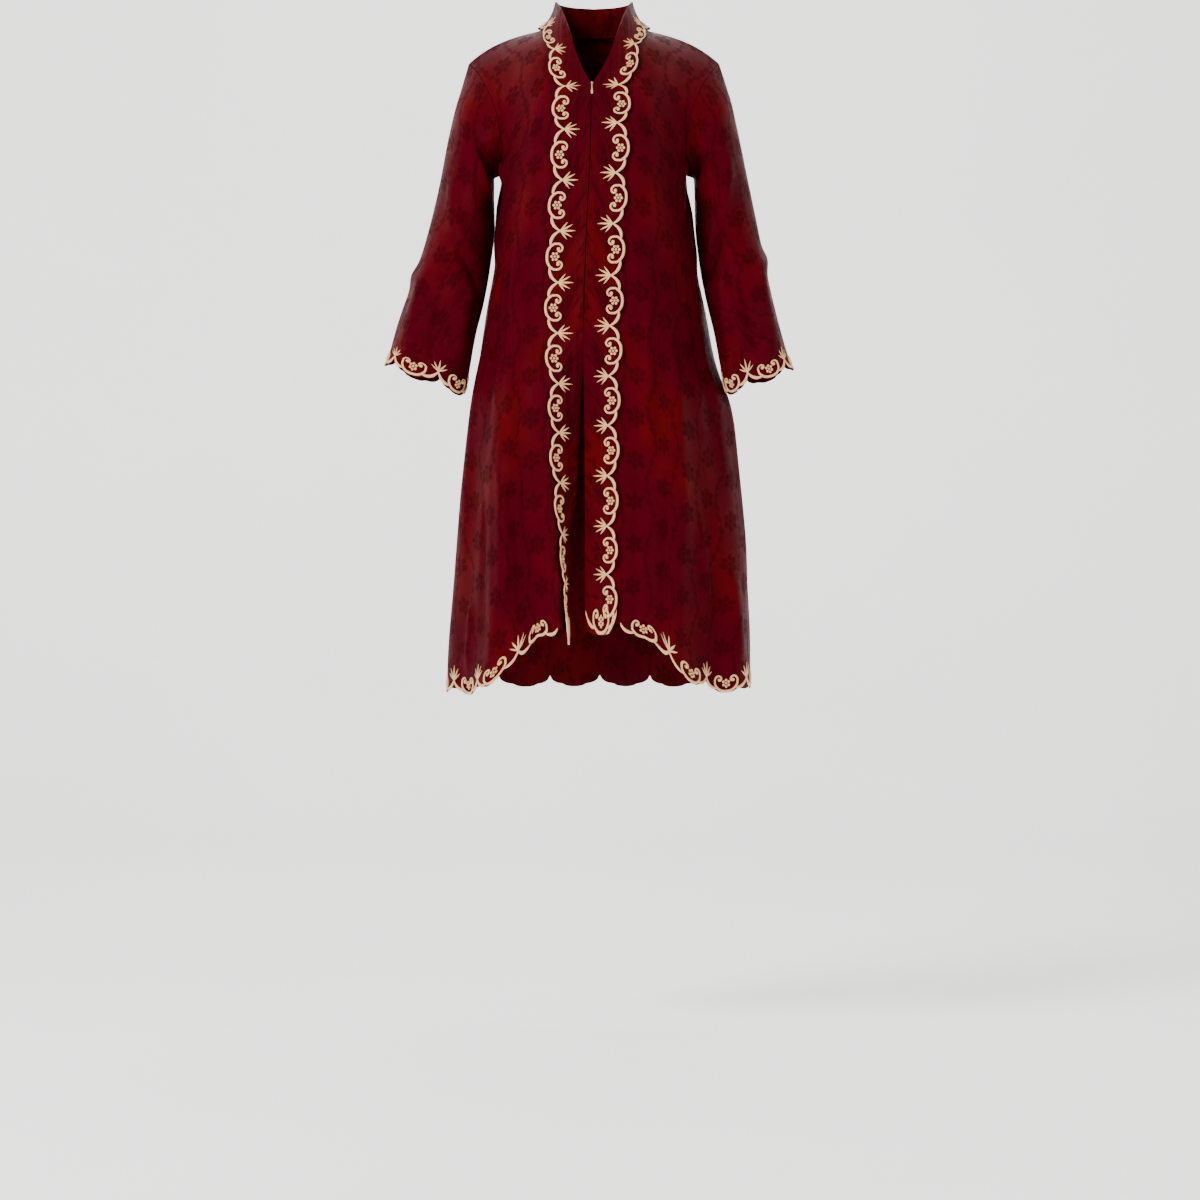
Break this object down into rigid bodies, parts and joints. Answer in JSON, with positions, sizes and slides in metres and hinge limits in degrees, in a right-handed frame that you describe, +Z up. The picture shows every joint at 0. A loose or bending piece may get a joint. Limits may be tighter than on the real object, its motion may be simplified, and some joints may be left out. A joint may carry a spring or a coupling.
{
  "type": "kebaya blouse",
  "caption": "Long kebaya blouse with a V neck, a concealed front zip, flared sleeves and turned-back front bands with scalloped embroidered edges.",
  "frame": {"origin": "on the centre line between the shoulders, level with the neck ends of the shoulder seams, at the mount wearer_shoulders", "axes": "+Z up, the front faces -Y, and +X is the wearer's left"},
  "size_m": [0.608, 0.3302, 1.0385],
  "materials": {
    "jacquard": "crimson jacquard with a soft sheen and tone-on-tone flowers; cream satin-stitch embroidery along the scalloped edges",
    "zip_tape": "woven tape, dyed to match",
    "zip_enamel": "enamelled, cream"
  },
  "bodies": {
    "garment": {"front_left": "jacquard", "front_right": "jacquard", "back": "jacquard", "sleeve_left": "jacquard", "sleeve_right": "jacquard", "band_left": "jacquard", "band_right": "jacquard", "neck_band": "jacquard", "zip_tape_left": "zip_tape", "zip_tape_right": "zip_tape", "zip_slider": "zip_enamel"},
    "pull": {"zip_pull": "zip_enamel"}
  },
  "joints": [
    {"name": "pull_swing", "type": "hinge", "parent": "garment", "child": "pull", "pos_m": [-0.0029, -0.1224, -0.1045], "axis": [-1, 0, 0], "range_deg": [0, 150]}
  ]
}
